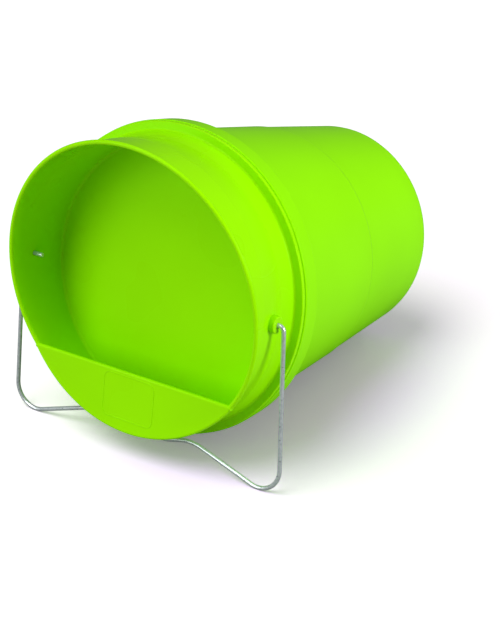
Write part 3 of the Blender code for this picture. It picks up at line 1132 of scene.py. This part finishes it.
@dataclass
class Studio:
    """White ground, soft lamps and the camera.

    The ground throws back ground_colour, and shiny pieces mirror it as ground_mirrored. To the
    camera it is ground_seen, which the overhead lamp and the room light to white. Close to the
    object it takes a painted shade, darker and with less green, which deepens the shadow there and
    takes out the green light that the bucket throws on it.
    Only the camera sees its faint glow, ground_lift. The room gives light at room_level, and shiny
    pieces mirror the room at mirror_level.
    """

    # Ground
    ground_size: float = 24.0
    ground_colour: Colour = (0.80, 0.78, 0.80)
    ground_seen: Colour = (1.50, 1.39, 1.52)
    # Painted shade: near the object the ground is darker and less green than ground_seen.
    ground_painted_shade: Colour = (1.16, 0.64, 1.66)
    ground_lift: float = 0.195
    shade_centre: tuple[float, float] = (0.053, 0.003)
    shade_reach: tuple[float, float] = (0.184, 0.287)
    shade_core: float = 0.20
    ground_mirrored: Colour = (0.22, 0.22, 0.22)

    # Room and lamps
    room_level: float = 0.24
    mirror_level: float = 0.06
    lit_height: float = 0.12

    # Camera
    azimuth: float = 34.16
    elevation: float = 26.22
    target: tuple[float, float, float] = (0.12015, -0.1660634, 0.1620841)
    distance: float = 1.45665
    lens: float = 98.13
    sensor: float = 36.0
    sight: float = 40.0

    @staticmethod
    def aim(item: bpy.types.Object, target: Vector) -> None:
        """Turn an object so that its -Z axis points at a target."""
        item.rotation_euler = (target - item.location).to_track_quat("-Z", "Y").to_euler()

    def add_ground(self) -> bpy.types.Object:
        """Lay the ground: white to the camera where it is open, grey where the shadow lies.

        Near the object a painted shade makes it darker and less green.

        Returns:
            The ground.
        """
        Workshop.clear_selection()
        bpy.ops.mesh.primitive_plane_add(size=self.ground_size, location=(0, 0, 0))
        ground = bpy.context.object
        ground.name = "ground"
        material = bpy.data.materials.new("white ground")
        material.use_nodes = True
        tree = material.node_tree
        tree.nodes.clear()
        out = tree.nodes.new("ShaderNodeOutputMaterial")
        matt = tree.nodes.new("ShaderNodeBsdfDiffuse")
        rays = tree.nodes.new("ShaderNodeLightPath")
        seen = tree.nodes.new("ShaderNodeMix")
        seen.data_type = "RGBA"
        seen.inputs["A"].default_value = (*self.ground_colour, 1)
        tree.links.new(rays.outputs["Is Camera Ray"], seen.inputs["Factor"])
        tree.links.new(self.add_white_with_painted_shade(tree), seen.inputs["B"])
        mirrored = tree.nodes.new("ShaderNodeMix")
        mirrored.data_type = "RGBA"
        mirrored.inputs["B"].default_value = (*self.ground_mirrored, 1)
        tree.links.new(rays.outputs["Is Glossy Ray"], mirrored.inputs["Factor"])
        tree.links.new(seen.outputs["Result"], mirrored.inputs["A"])
        tree.links.new(mirrored.outputs["Result"], matt.inputs["Color"])
        glow = tree.nodes.new("ShaderNodeEmission")
        glow.inputs["Color"].default_value = (1, 1, 1, 1)
        level = tree.nodes.new("ShaderNodeMath")
        level.operation = "MULTIPLY"
        level.inputs[1].default_value = self.ground_lift
        tree.links.new(rays.outputs["Is Camera Ray"], level.inputs[0])
        tree.links.new(level.outputs["Value"], glow.inputs["Strength"])
        both = tree.nodes.new("ShaderNodeAddShader")
        tree.links.new(matt.outputs["BSDF"], both.inputs[0])
        tree.links.new(glow.outputs["Emission"], both.inputs[1])
        tree.links.new(both.outputs["Shader"], out.inputs["Surface"])
        ground.data.materials.append(material)
        return ground

    def add_white_with_painted_shade(self, tree: bpy.types.NodeTree) -> bpy.types.NodeSocket:
        """Add the ground's white, with a painted shade near the object: darker, and with less
        green to take out its green cast.

        Args:
            tree: Node tree of the ground's material.

        Returns:
            The socket that carries the colour.
        """
        where = tree.nodes.new("ShaderNodeTexCoord")
        shift = tree.nodes.new("ShaderNodeVectorMath")
        shift.operation = "SUBTRACT"
        shift.inputs[1].default_value = (*self.shade_centre, 0)
        tree.links.new(where.outputs["Object"], shift.inputs[0])
        squeeze = tree.nodes.new("ShaderNodeVectorMath")
        squeeze.operation = "DIVIDE"
        squeeze.inputs[1].default_value = (*self.shade_reach, 1)
        tree.links.new(shift.outputs["Vector"], squeeze.inputs[0])
        length = tree.nodes.new("ShaderNodeVectorMath")
        length.operation = "LENGTH"
        tree.links.new(squeeze.outputs["Vector"], length.inputs[0])
        fade = tree.nodes.new("ShaderNodeMapRange")
        fade.interpolation_type = "SMOOTHSTEP"
        fade.inputs["From Min"].default_value = self.shade_core
        fade.inputs["From Max"].default_value = 1.0
        tree.links.new(length.outputs["Value"], fade.inputs["Value"])
        white = tree.nodes.new("ShaderNodeMix")
        white.data_type = "RGBA"
        # Painted shade near the object, darker and less green than the open ground.
        white.inputs["A"].default_value = (*self.ground_painted_shade, 1)
        white.inputs["B"].default_value = (*self.ground_seen, 1)
        tree.links.new(fade.outputs["Result"], white.inputs["Factor"])
        return white.outputs["Result"]

    def add_world(self) -> None:
        """Fill the room with even light, white where the camera sees it."""
        world = bpy.data.worlds.new("room")
        bpy.context.scene.world = world
        world.use_nodes = True
        tree = world.node_tree
        tree.nodes.clear()
        out = tree.nodes.new("ShaderNodeOutputWorld")
        fill = tree.nodes.new("ShaderNodeBackground")
        fill.inputs["Color"].default_value = (1, 1, 1, 1)
        seen = tree.nodes.new("ShaderNodeBackground")
        seen.inputs["Color"].default_value = (1, 1, 1, 1)
        seen.inputs["Strength"].default_value = 1.0
        rays = tree.nodes.new("ShaderNodeLightPath")
        dimmer = tree.nodes.new("ShaderNodeMapRange")
        dimmer.inputs["To Min"].default_value = self.room_level
        dimmer.inputs["To Max"].default_value = self.mirror_level
        tree.links.new(rays.outputs["Is Glossy Ray"], dimmer.inputs["Value"])
        tree.links.new(dimmer.outputs["Result"], fill.inputs["Strength"])
        either = tree.nodes.new("ShaderNodeMath")
        either.operation = "MAXIMUM"
        tree.links.new(rays.outputs["Is Camera Ray"], either.inputs[0])
        tree.links.new(rays.outputs["Is Transmission Ray"], either.inputs[1])
        mix = tree.nodes.new("ShaderNodeMixShader")
        tree.links.new(either.outputs["Value"], mix.inputs["Fac"])
        tree.links.new(fill.outputs["Background"], mix.inputs[1])
        tree.links.new(seen.outputs["Background"], mix.inputs[2])
        tree.links.new(mix.outputs["Shader"], out.inputs["Surface"])

    def add_sky(self, tilt: float, lean: float, spread: float, level: float) -> None:
        """Light everything evenly from above, with a wide, soft lamp far away.

        Args:
            tilt: Turn of the lamp from overhead towards the front, in degrees.
            lean: Turn of the lamp from overhead towards the right, in degrees.
            spread: Width of the lamp as seen from the object, in degrees.
            level: Its strength.
        """
        Workshop.clear_selection()
        bpy.ops.object.light_add(type="SUN", location=(0, -0.5, 2))
        lamp = bpy.context.object
        lamp.name = "overhead lamp"
        lamp.rotation_euler = (math.radians(tilt), math.radians(lean), 0)
        lamp.data.angle = math.radians(spread)
        lamp.data.energy = level

    def add_lamp(
        self, name: str, place: Vector, size: float, watts: float, ground: bpy.types.Object
    ) -> None:
        """Hang a soft square lamp that lights the object and not the ground.

        Args:
            name: Name of the lamp.
            place: Where it hangs.
            size: Side of its square.
            watts: Its power.
            ground: The ground, which it leaves alone.
        """
        Workshop.clear_selection()
        bpy.ops.object.light_add(type="AREA", location=place)
        lamp = bpy.context.object
        lamp.name = name
        lamp.data.shape = "SQUARE"
        lamp.data.size = size
        lamp.data.energy = watts
        self.aim(lamp, Vector((0, 0, self.lit_height)))
        unlit = bpy.data.collections.new(f"{name} leaves alone")
        unlit.objects.link(ground)
        unlit.collection_objects[0].light_linking.link_state = "EXCLUDE"
        lamp.light_linking.receiver_collection = unlit

    def add_camera(self) -> None:
        """Stand the camera where the photograph was taken from."""
        turn = math.radians(self.azimuth)
        rise = math.radians(self.elevation)
        target = Vector(self.target)
        away = Vector(
            (math.sin(turn) * math.cos(rise), -math.cos(turn) * math.cos(rise), math.sin(rise))
        )
        Workshop.clear_selection()
        bpy.ops.object.camera_add(location=target + away * self.distance)
        camera = bpy.context.object
        camera.data.sensor_width = self.sensor
        camera.data.lens = self.lens
        camera.data.clip_end = self.sight
        self.aim(camera, target)
        bpy.context.scene.camera = camera

    def build(self) -> None:
        """Set up ground, light and camera."""
        ground = self.add_ground()
        self.add_world()
        self.add_sky(tilt=25, lean=-11, spread=44, level=1.40)
        self.add_lamp("right lamp", Vector((2.0, 0.15, 0.95)), size=0.9, watts=39, ground=ground)
        self.add_lamp("front lamp", Vector((-1.0, -2.0, 0.9)), size=1.2, watts=22, ground=ground)
        self.add_camera()
        bpy.context.scene.view_settings.view_transform = "Standard"


def main() -> None:
    """Build the pieces and the studio, and report each piece."""
    logging.basicConfig(level=logging.INFO, format="%(name)s: %(message)s")
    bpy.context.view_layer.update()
    stance = Stance()
    body_green = MouldedPlastic("lime green bucket plastic", (0.268, 0.800, 0.000))
    lid_green = MouldedPlastic("lime green lid plastic", (0.294, 0.800, 0.000), roughness=0.27)
    bucket = Bucket(body_green)
    lid = TroughLid(lid_green, bucket)
    ring = SealingRing(SealRubber(), lid)
    wire = WireStand(ZincWire(), lid)
    for maker in (bucket, lid, ring, wire):
        piece = maker.build(stance)
        log.info("%s: %d faces", piece.name, len(piece.data.polygons))
    Studio().build()


if __name__ == "__main__":
    main()
